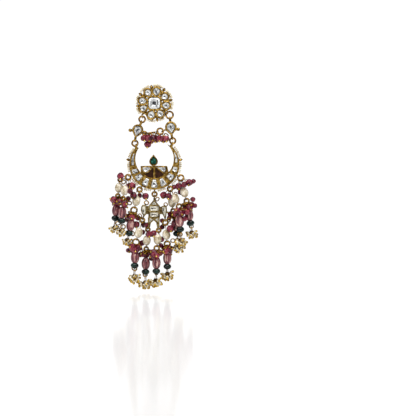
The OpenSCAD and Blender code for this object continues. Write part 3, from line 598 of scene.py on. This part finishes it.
# %% [markdown]
# ## Strings of seed pearls
# The strings are tubes in the CAD. On the real piece, little pearls of slightly different sizes sit side by side on a
# wire. One pearl is modelled from a ball, flattened a little where its neighbours press on it, and copied along the
# middle of each tube. The tube's own points give that arc: their distance from the middle of the stud, or of the
# crescent, and their two end angles.

# %% One seed pearl and one row
def model_seed_pearl():
    pearl = new_ball(12, 8, 0.6 * MM)
    edit(pearl)
    bpy.ops.transform.resize(value=(1, 1, 0.74), center_override=(0, 0, 0))
    done()
    bpy.ops.object.shade_smooth()
    pearl.data.materials.append(seed_white)
    return pearl

def pearl_row(solid, centre, pitch, size, dice):
    p = solid["points"]
    angle = np.degrees(np.arctan2(p[:, 2] - centre[2], p[:, 0] - centre[0]))
    if angle.max() - angle.min() > 180:
        angle = np.where(angle < 0, angle + 360, angle)
    low, high = float(angle.min()), float(angle.max())
    radius = float(np.mean(np.hypot(p[:, 0] - centre[0], p[:, 2] - centre[2])))
    count = max(1, round(math.radians(high - low) * radius / pitch))
    places = []
    for i in range(count):
        a = math.radians(low + (high - low) * (i + 0.5) / count)
        r = radius + dice.uniform(-0.05, 0.08) * MM
        middle = (centre[0] + r * math.cos(a), centre[1] + dice.uniform(-0.05, 0.05) * MM, centre[2] + r * math.sin(a))
        places.append(at_place(middle, (-math.sin(a), 0, math.cos(a)), size * dice.uniform(0.9, 1.06)))
    return places

seed_pearl = model_seed_pearl()
mid_y_mm = -1.2
dice = random.Random(7)
for name, centre, size in (("stud_seed_strand", (0, mid_y_mm * MM, 0), 1.15),
                           ("crescent_seed_strand", (0, mid_y_mm * MM, crescent_z_mm * MM), 1.0)):
    places = []
    for solid in solids_of(name):
        places += pearl_row(solid, centre, 0.86 * MM, size, dice)
    piece = joined(copies(seed_pearl, places), name.replace("strand", "pearls"))
    settle(piece, body_of_node[name], name)
    print(piece.name, len(places), "pearls")
put_away(seed_pearl)

# %% [markdown]
# ## Oval pearls
# The pearls are creamy, a little lumpy and never quite alike. A ball is stretched to an oval, two dents are pressed in
# with a proportional pull, and it is smoothed by a subdivision. Each drop's pearl is turned differently.

# %% Model an oval pearl and set ten of them
def model_pearl():
    pearl = new_ball(20, 12, 1)
    edit(pearl)
    bpy.ops.transform.resize(value=(2.12 * MM, 2.12 * MM, 2.62 * MM), center_override=(0, 0, 0))
    done()
    edit(pearl, lambda v: v.co.x > 1.1 * MM and v.co.z > 0)
    bpy.ops.transform.translate(value=(-0.16 * MM, 0, 0.05 * MM), use_proportional_edit=True,
                                proportional_size=1.4 * MM)
    done()
    edit(pearl, lambda v: v.co.y < -1.1 * MM and abs(v.co.z) < 0.6 * MM)
    bpy.ops.transform.translate(value=(0, 0.12 * MM, 0), use_proportional_edit=True, proportional_size=1.2 * MM)
    done()
    soften(pearl)
    pearl.data.materials.append(pearl_cream)
    return pearl

def long_axis(solid):
    axis = Vector(solid["axes"][2])
    return axis if axis.z > 0 else -axis

oval = model_pearl()
drop_numbers = range(1, 11)
for i in drop_numbers:
    name = "pearl_%d" % i
    solid = solids_of(name)[0]
    piece = joined(copies(oval, [at_place(solid["middle"], long_axis(solid), 1.0, i * 1.9)]), "oval_" + name)
    settle(piece, body_of_node[name], name)
put_away(oval)
print("oval pearls set")

# %% [markdown]
# ## Fluted melon beads
# These are long barrels of mauve stone with shallow grooves from end to end, streaky in colour, with pale streaks that
# paint highlights along the flutes. A ball with many meridians is stretched, its ends are flattened, every third
# meridian is drawn in to a groove, and a subdivision softens the ribs.

# %% Model a melon bead and set ten of them
def model_melon():
    melon = new_ball(30, 14, 1)
    edit(melon)
    bpy.ops.transform.resize(value=(2.18 * MM, 2.18 * MM, 3.35 * MM), center_override=(0, 0, 0))
    done()
    edit(melon, lambda v: abs(v.co.z) > 2.9 * MM)
    bpy.ops.transform.resize(value=(1, 1, 0.93), center_override=(0, 0, 0))
    done()
    edit(melon, lambda v: round(math.degrees(math.atan2(v.co.y, v.co.x))) % 36 == 0 and abs(v.co.z) < 3.0 * MM)
    bpy.ops.transform.resize(value=(0.86, 0.86, 1), center_override=(0, 0, 0))
    done()
    soften(melon)
    melon.data.materials.append(mauve_painted_highlights)
    return melon

def melon_line(i):
    solid = solids_of("melon_%d" % i)[0]
    return Vector(solid["middle"]), long_axis(solid)

fluted = model_melon()
for i in drop_numbers:
    name = "melon_%d" % i
    piece = joined(copies(fluted, [at_place(*melon_line(i), 1.0, i * 0.7)]), "fluted_" + name)
    settle(piece, body_of_node[name], name)
put_away(fluted)
print("melon beads set")

# %% [markdown]
# ## Pink beads
# The pink beads are tumbled and faceted by hand, so no two look alike. Three lumps are modelled from a coarse ball
# whose points are pushed about, then bevelled to little flats. They take turns along each cluster, each tilted anew.

# %% Model three pink lumps and set every cluster
def model_lump(seed):
    deselect()
    bpy.ops.mesh.primitive_ico_sphere_add(subdivisions=2, radius=1.8 * MM, location=(0, 0, 0))
    lump = bpy.context.object
    edit(lump)
    bpy.ops.transform.vertex_random(offset=0.2 * MM, uniform=0.0, normal=0.6, seed=seed)
    bpy.ops.mesh.bevel(offset=0.1 * MM, segments=2, affect="EDGES")
    done()
    bpy.ops.object.shade_smooth()
    lump.data.materials.append(pink_stone)
    return lump

lumps = [model_lump(seed) for seed in (3, 8, 21)]
dice = random.Random(11)
for name in ("bridge_beads", "left_pink_beads", "right_pink_beads", "pendant_pink_beads"):
    parts = []
    for k, solid in enumerate(solids_of(name)):
        tilt = Vector((dice.uniform(-1, 1), dice.uniform(-1, 1), dice.uniform(-1, 1)))
        parts += copies(lumps[k % 3], [at_place(solid["middle"], tilt, dice.uniform(0.93, 1.06), dice.uniform(0, 6))])
    piece = joined(parts, name.replace("beads", "lumps"))
    settle(piece, body_of_node[name], name)
    print(piece.name, len(parts), "beads")

# %% [markdown]
# Between the clusters, more pink beads hang on bare threads of wire, half hidden behind the others. They're too
# loosely tied to be worth a solid each, so they're listed here one by one. A row gives the bead's middle, the place
# where its thread is tied, both in millimetres, and its size.

# %% Beads between the clusters, listed one by one
lump_edge = 1.95 * MM
between = {
    "crescent": [
        ((-12.0, -4.6, -44.0), (-12.9, -1.2, -38.3), 0.82), ((-13.7, 2.5, -57.9), (-11.2, -1.2, -55.0), 0.85),
        ((14.9, -3.2, -40.6), (13.9, -1.2, -38.5), 0.85), ((13.0, 1.5, -44.4), (13.2, -1.2, -38.7), 0.8),
        ((16.4, -5.3, -54.5), (12.9, -3.4, -52.6), 0.8), ((15.3, -4.8, -57.6), (15.6, -4.4, -55.0), 0.75),
        ((10.2, 3.0, -47.4), (8.6, -1.2, -43.9), 0.85), ((-20.0, -3.7, -48.2), (-18.3, 0.9, -47.2), 0.8),
        ((19.2, 0.6, -48.0), (16.9, -1.2, -48.0), 0.75), ((9.7, -0.2, -41.9), (8.6, -1.2, -42.0), 0.75),
        ((-13.1, 0.4, -47.6), (-14.8, -3.0, -47.2), 0.75), ((19.5, 0.8, -38.9), (14.6, -1.2, -37.6), 0.7),
        ((-7.4, 1.2, -46.0), (-7.4, -1.2, -44.2), 0.75), ((20.3, -3.2, -51.2), (17.2, -1.2, -49.2), 0.65)],
    "pendant": [
        ((-8.3, 1.9, -57.2), (-6.6, -1.2, -57.4), 0.85), ((-5.4, 3.3, -60.7), (-6.0, -1.2, -59.5), 0.85),
        ((9.8, -2.3, -60.1), (6.7, -1.2, -59.8), 0.8), ((-6.4, 1.9, -69.9), (-8.0, -1.6, -70.3), 0.85),
        ((-6.9, 4.0, -75.6), (-4.9, 0.4, -73.4), 0.85), ((-1.3, 1.5, -77.4), (-3.4, 0.4, -73.5), 0.85),
        ((3.9, 1.6, -58.6), (4.4, -1.2, -59.2), 0.72), ((3.9, 2.2, -61.8), (4.6, -1.2, -60.4), 0.75),
        ((-5.9, 2.4, -64.4), (-4.0, -1.2, -63.4), 0.75), ((-13.1, 1.0, -73.5), (-10.6, -1.6, -70.2), 0.72),
        ((7.3, 0.1, -57.4), (6.2, -1.2, -58.4), 0.7), ((3.2, 1.6, -71.0), (2.2, -2.8, -72.0), 0.7),
        ((2.8, 1.5, -74.3), (2.2, -2.8, -73.2), 0.85), ((3.6, 1.4, -68.0), (2.2, -1.2, -64.4), 0.8)]}
for body, rows in between.items():
    beads, threads = [], []
    for k, (bead, hook, size) in enumerate(rows):
        spot, top = Vector(bead) * MM, Vector(hook) * MM
        beads += copies(lumps[k % 3], [at_place(spot, (0.3 * k, 1, 0.5), size, k)])
        threads.append(rod_between(top, spot + (spot - top).normalized() * size * lump_edge, 0.15 * MM))
    piece = joined(beads, body + "_between_lumps")
    settle(piece, body)
    piece = joined(threads, body + "_between_threads")
    settle(piece, body)
    print(body, len(rows), "beads between the clusters")
for lump in lumps:
    put_away(lump)

# %% [markdown]
# ## Granules on the pink beads
# Each bead sits on a head pin, and a gold granule at the pin's end keeps it there. It shows as a bright dot at the
# bead's outer side. The outer side is found from the middle of the nearest cluster, and the dots lean to the front, as
# the pins do. One small ball is modelled and copied.

# %% A gold granule at the far end of every pink bead
granule = new_ball(10, 7, 0.52 * MM)
bpy.ops.object.shade_smooth()
granule.data.materials.append(bright_gold)

hubs = [middle + axis * 4.6 * MM for middle, axis in map(melon_line, drop_numbers)]
front_limit = -6.85 * MM
for name in ("bridge_beads", "left_pink_beads", "right_pink_beads", "pendant_pink_beads"):
    places = []
    for solid in solids_of(name):
        bead = Vector(solid["middle"])
        near = min(hubs, key=lambda h: (h - bead).length)
        out = bead - near if (bead - near).length < 2.6 * MM else Vector((dice.uniform(-0.3, 0.3), -0.25, -1))
        out = out.normalized() + Vector((0, -0.6, 0))
        spot = bead + out.normalized() * lump_edge
        spot.y = max(spot.y, front_limit)
        places.append(at_place(spot))
    piece = joined(copies(granule, places), name.replace("beads", "gold_tips"))
    settle(piece, body_of_node[name])
    print(piece.name, len(places), "granules")
put_away(granule)

# %% [markdown]
# ## Dark rondelles
# The rondelles are turned and cut: a ball with few meridians, squashed, with its edges bevelled so each facet stands
# sharp. Each one lies square to the melon bead above it, so it takes that bead's direction.

# %% Model a cut rondelle and set ten of them
def model_rondelle():
    rondelle = new_ball(12, 7, 2.05 * MM)
    edit(rondelle)
    bpy.ops.transform.resize(value=(1, 1, 0.76), center_override=(0, 0, 0))
    bpy.ops.mesh.select_all(action="SELECT")
    bpy.ops.mesh.bevel(offset=0.06 * MM, segments=1, affect="EDGES")
    done()
    rondelle.data.materials.append(green_black)
    return rondelle

melon_ends = [(middle - axis * 4.1 * MM, axis) for middle, axis in map(melon_line, drop_numbers)]
rondelle = model_rondelle()
for name in ("left_rondelles", "right_rondelles", "pendant_rondelles"):
    places = []
    for k, solid in enumerate(solids_of(name)):
        _, axis = min(melon_ends, key=lambda m: (m[0] - Vector(solid["middle"])).length)
        places.append(at_place(solid["middle"], axis, 1.0, k))
    piece = joined(copies(rondelle, places), name.replace("rondelles", "cut_rondelles"))
    settle(piece, body_of_node[name], name)
    print(piece.name, len(places), "rondelles")
put_away(rondelle)

# %% [markdown]
# ## Sprays
# Each drop ends in a spray: fine gold pins that fan out from a tangled knot of wire, each with a seed pearl near its
# end and a gold granule at its tip. One stem is modelled, of a thin pin, its pearl and its granule, and it is copied
# round the knot in a loose fan of uneven lengths. The fan's rows give a bearing and a rise in degrees.

# %% Model a stem and fan it out at every spray
def model_stem():
    deselect()
    bpy.ops.mesh.primitive_cylinder_add(vertices=6, radius=0.22 * MM, depth=3.0 * MM, location=(0, 0, 1.5 * MM))
    pin = bpy.context.object
    pin.data.materials.append(wire_gold)
    middle = (0, 0, 2.1 * MM)
    pearl = new_ball(10, 8, 0.72 * MM, middle)
    edit(pearl)
    bpy.ops.transform.resize(value=(1, 1, 0.9), center_override=middle)
    done()
    bpy.ops.object.shade_smooth()
    pearl.data.materials.append(seed_white)
    tip = new_ball(8, 6, 0.6 * MM, (0, 0, 2.95 * MM))
    bpy.ops.object.shade_smooth()
    tip.data.materials.append(bright_gold)
    return joined([pin, pearl, tip], "stem")

def model_knot():
    deselect()
    bpy.ops.mesh.primitive_ico_sphere_add(subdivisions=2, radius=1.25 * MM, location=(0, 0, 0))
    knot = bpy.context.object
    edit(knot)
    bpy.ops.transform.vertex_random(offset=0.22 * MM, uniform=0.0, normal=1.0, seed=5)
    done()
    # The knot's dark gold is painted shade.
    knot.data.materials.append(knot_gold_painted_shade)
    return knot

stem, knot = model_stem(), model_knot()
fan = [(0, -14), (45, 10), (90, -30), (135, 5), (180, -12), (225, -40), (270, -8), (315, -36), (20, -60), (200, -66),
       (250, -70), (292, 16), (160, -38), (340, -48), (110, -55), (72, -8)]
reach = {"left": 0.88, "right": 1.0, "pendant": 1.12}
for name in ("left_sprays", "right_sprays", "pendant_sprays"):
    parts = []
    for k, solid in enumerate(solids_of(name)):
        hub = Vector(solid["middle"])
        parts += copies(knot, [at_place(hub, (0.2, 0.1, 1), 1.0, k)])
        for bearing, rise in fan:
            a = math.radians(bearing + k * 17 + dice.uniform(-9, 9))
            up = math.radians(rise + dice.uniform(-7, 7))
            along = Vector((math.cos(a) * math.cos(up), math.sin(a) * math.cos(up), math.sin(up)))
            parts += copies(stem, [at_place(hub, along, reach[name.split("_")[0]] * dice.uniform(0.86, 1.08))])
    piece = joined(parts, name.replace("sprays", "pearl_sprays"))
    settle(piece, body_of_node[name], name)
    print(piece.name, len(parts), "parts")
put_away(stem)
put_away(knot)

# %% [markdown]
# ## Fine wires
# Between each rondelle and its spray run two fine wires beside the CAD's pin, and little turns of wire bind every
# cluster. The fine wire is a thin rod, set from point to point. The binding is one small ring of wire, copied at odd
# tilts, so the gold between the beads looks wound and not cast. Some turns sit by themselves at rings and sprays,
# where the photo shows a curl of wire, and those are listed by their middles in millimetres.

# %% Wires from the rondelles down to the sprays
body_of_side = {"left": "crescent", "right": "crescent", "pendant": "pendant"}
for side, body in body_of_side.items():
    parts = []
    hubs = [Vector(s["middle"]) for s in solids_of(side + "_sprays")]
    for solid in solids_of(side + "_rondelles"):
        top = Vector(solid["middle"])
        hub = min(hubs, key=lambda h: (Vector((h.x, h.y, 0)) - Vector((top.x, top.y, 0))).length + abs(h.z - top.z))
        for shift in (-0.55, 0.55):
            start = top + Vector((shift * 0.5 * MM, 0, -0.9 * MM))
            parts.append(rod_between(start, hub + Vector((shift * 1.3 * MM, -0.2 * MM, 0.3 * MM)), 0.11 * MM))
    piece = joined(parts, side + "_fine_wires")
    settle(piece, body)
    print(piece.name, len(parts), "wires")

# %% Little turns of wire round each cluster
deselect()
bpy.ops.mesh.primitive_torus_add(major_radius=0.7 * MM, minor_radius=0.23 * MM, major_segments=14, minor_segments=6,
                                 location=(0, 0, 0))
turn = bpy.context.object
edit(turn, lambda v: v.co.x > 0)
bpy.ops.transform.translate(value=(0.25 * MM, 0, 0.12 * MM))
done()
bpy.ops.object.shade_smooth()
turn.data.materials.append(wire_gold)
loose = {
    "left": [(-15.2, -1.2, -39.2), (-18.4, 0.2, -60.0), (-15.4, -2.6, -61.6), (-10.9, -1.4, -65.2),
             (-12.6, -0.8, -49.8), (-3.9, -1.2, -15.9), (-1.9, -1.2, -16.2)],
    "right": [(15.4, -1.2, -40.0), (18.3, -1.2, -61.4), (12.6, -3.0, -65.4), (11.4, 0.6, -68.6), (5.7, -1.2, -16.0),
              (1.6, -1.2, -16.0), (10.6, -1.0, -45.2)],
    "pendant": [(5.6, -1.4, -50.4), (-3.8, -1.4, -49.8), (1.4, -1.2, -48.0), (-7.2, -1.2, -56.0), (7.0, -1.2, -58.4),
                (-9.8, -1.4, -82.6), (-4.6, 0.2, -85.6), (1.0, -2.6, -84.6), (6.4, 0.0, -81.6), (9.4, -1.2, -68.6)]}
melons_of_side = {"left": (1, 2, 3), "right": (4, 5, 6), "pendant": (7, 8, 9, 10)}
turns_per_cluster = 17
for side, body in body_of_side.items():
    places = []
    for i in melons_of_side[side]:
        middle, axis = melon_line(i)
        base = middle + axis * 4.4 * MM
        for k in range(turns_per_cluster):
            tilt = axis + Vector((dice.uniform(-0.8, 0.8), dice.uniform(-0.8, 0.8), 0))
            shift = Vector((dice.uniform(-1.9, 1.9), dice.uniform(-1.9, 0.6), dice.uniform(-0.6, 2.2))) * MM
            places.append(at_place(base + shift, tilt, dice.uniform(0.8, 1.15), k))
    for x, y, z in loose[side]:
        tilt = (dice.uniform(-0.5, 0.5), -1, dice.uniform(-0.5, 0.5))
        places.append(at_place(Vector((x, y, z)) * MM, tilt, dice.uniform(1.1, 1.5), x))
    piece = joined(copies(turn, places), side + "_wire_turns")
    settle(piece, body)
    print(piece.name, len(places), "turns")
put_away(turn)

# %% [markdown]
# ## Hammered rings
# The jump rings and link rings are a little thicker than their plain solids and were shaped by hand, so their wire is
# not quite even. Each ring of the frame that stands alone is measured, and a ring of slightly uneven wire is modelled
# round it. Rings that are one solid with their pins can't be told from it, so all carrying rings are also listed, as
# x, y, z and radius in millimetres, and a row is used where no ring was found.

# %% Thicker, uneven wire on every ring
ring_wire = 0.46 * MM

def uneven_ring(middle, radius, seed):
    deselect()
    bpy.ops.mesh.primitive_torus_add(major_radius=radius, minor_radius=ring_wire, major_segments=28, minor_segments=8,
                                     location=(0, 0, 0))
    ring = bpy.context.object
    edit(ring)
    bpy.ops.transform.vertex_random(offset=0.035 * MM, uniform=0.0, normal=1.0, seed=seed)
    done()
    bpy.ops.object.shade_smooth()
    ring.data.materials.append(wire_gold)
    ring.matrix_world = at_place(middle, (0, -1, 0))
    return ring

ring_nodes = {
    "crescent": ("left_jump_ring", "right_jump_ring", "left_tip_ring", "right_tip_ring", "bridge_wire",
                 "left_drop_wires", "right_drop_wires"),
    "pendant": ("pendant_ring", "pendant_drop_wires")}
carriers = {
    "crescent": ((-13.15, -1.2, -36.95, 1.32), (-7.4, -1.2, -43.1, 1.2), (7.85, -1.2, -42.75, 1.25),
                 (13.15, -1.2, -37.25, 1.45), (-17.15, -0.9, -38.2, 0.95), (-18.3, 0.9, -46.2, 0.95),
                 (-15.6, -3.4, -47.5, 0.95), (-10.2, -1.2, -53.4, 1.5), (16.1, -1.2, -48.8, 1.15),
                 (12.3, -3.4, -51.5, 1.2), (9.3, 1.2, -53.6, 0.95)),
    "pendant": ((-6.05, -1.2, -58.4, 1.1), (-3.25, -1.2, -63.05, 1.0), (2.15, -1.2, -63.4, 1.0),
                (5.45, -1.2, -59.55, 1.3), (-9.2, -1.6, -69.4, 1.6), (-4.1, 0.4, -72.7, 0.95),
                (1.2, -2.8, -72.35, 1.2), (6.4, 0.2, -70.3, 1.4))}
bridge_ring = ((-4.9 * MM, mid_y_mm * MM, -15.0 * MM), 0.85 * MM)
for body, names in ring_nodes.items():
    parts, found = [], []
    for name in names:
        for solid in solids_of(name):
            wide, deep, tall = solid["high"] - solid["low"]
            if abs(wide - tall) < 0.05 * MM and deep < 0.6 * MM:
                parts.append(uneven_ring(solid["middle"], float(wide) / 2 - 0.26 * MM, len(parts) + 1))
                found.append(Vector(solid["middle"]))
    for x, y, z, radius in carriers[body]:
        middle = Vector((x, y, z)) * MM
        if all((middle - other).length > 0.5 * MM for other in found):
            parts.append(uneven_ring(middle, radius * MM, len(parts) + 1))
    print(body, len(found), "rings found,", len(parts) - len(found), "added from the list")
    if body == "crescent":
        parts.append(uneven_ring(*bridge_ring, 40))
    piece = joined(parts, body + "_hammered_rings")
    settle(piece, body)
    print(piece.name, len(parts), "rings")

# %% [markdown]
# ## Bold knobs and stalks
# The knobs on the rims end in heavy round balls, the stalks between a ring and a pear setting are stout, and solder
# fills the corners between the stud's petals. It is hand work, so no two knobs are quite alike. The plain solids are
# slender there, so a fuller ball sits round each knob, a straight sleeve round each stalk and a short bar in each
# corner. Places are in millimetres, and angles in degrees round the stud or the crescent.

# %% Fuller knobs and stalks
def on_rim(angle, radius, middle_z=0):
    a = math.radians(angle)
    return (radius * math.cos(a), mid_y_mm, middle_z + radius * math.sin(a))

def ball_at(place, radius, seed):
    ball = new_ball(12, 8, radius * MM, [c * MM for c in place])
    edit(ball)
    bpy.ops.transform.vertex_random(offset=0.05 * MM, uniform=0.0, normal=1.0, seed=seed)
    done()
    bpy.ops.object.shade_smooth()
    ball.data.materials.append(gold)
    return ball

def sleeve(start, end, radius):
    return rod_between(Vector(start) * MM, Vector(end) * MM, radius * MM, gold)

knob_angles = (100, 55, 11, -80, -171, 147)
corner_angles = (100, 55, 11, -34, -80, -131, -171, 147)
stalks = (((-6.5, -9.6), (-7.2, -10.9), 0.6), ((7.8, -7.9), (8.0, -9.3), 0.6),
          ((-9.3, -16.6), (-9.6, -18.3), 0.6), ((8.5, -15.2), (8.9, -17.1), 0.6),
          ((-9.3, -21.6), (-8.6, -23.0), 0.7), ((8.9, -20.5), (8.2, -22.0), 0.7))
knobs = {"stud": [], "crescent": []}
for angle in knob_angles:
    knobs["stud"] += [ball_at(on_rim(angle, 8.3), 0.8, angle % 17),
                      sleeve(on_rim(angle, 7.0), on_rim(angle, 8.2), 0.55)]
for angle in corner_angles:
    knobs["stud"].append(sleeve(on_rim(angle, 5.6), on_rim(angle, 7.3), 0.85))
for x, z in ((-12.1, -13.5), (12.0, -13.0)):
    knobs["crescent"] += [ball_at((x, mid_y_mm, z), 0.85, 3), ball_at((x * 0.93, mid_y_mm, z + 0.03), 0.68, 4)]
for (x, z), (end_x, end_z), radius in stalks:
    knobs["crescent"].append(sleeve((x, mid_y_mm, z), (end_x, mid_y_mm, end_z), radius))
for angle in (169.7, 10.2):
    knobs["crescent"].append(ball_at(on_rim(angle, 13.25, crescent_z_mm), 0.75, 5))
for body, parts in knobs.items():
    piece = joined(parts, body + "_bold_knobs")
    settle(piece, body)
    print(piece.name, len(piece.data.polygons), "faces")
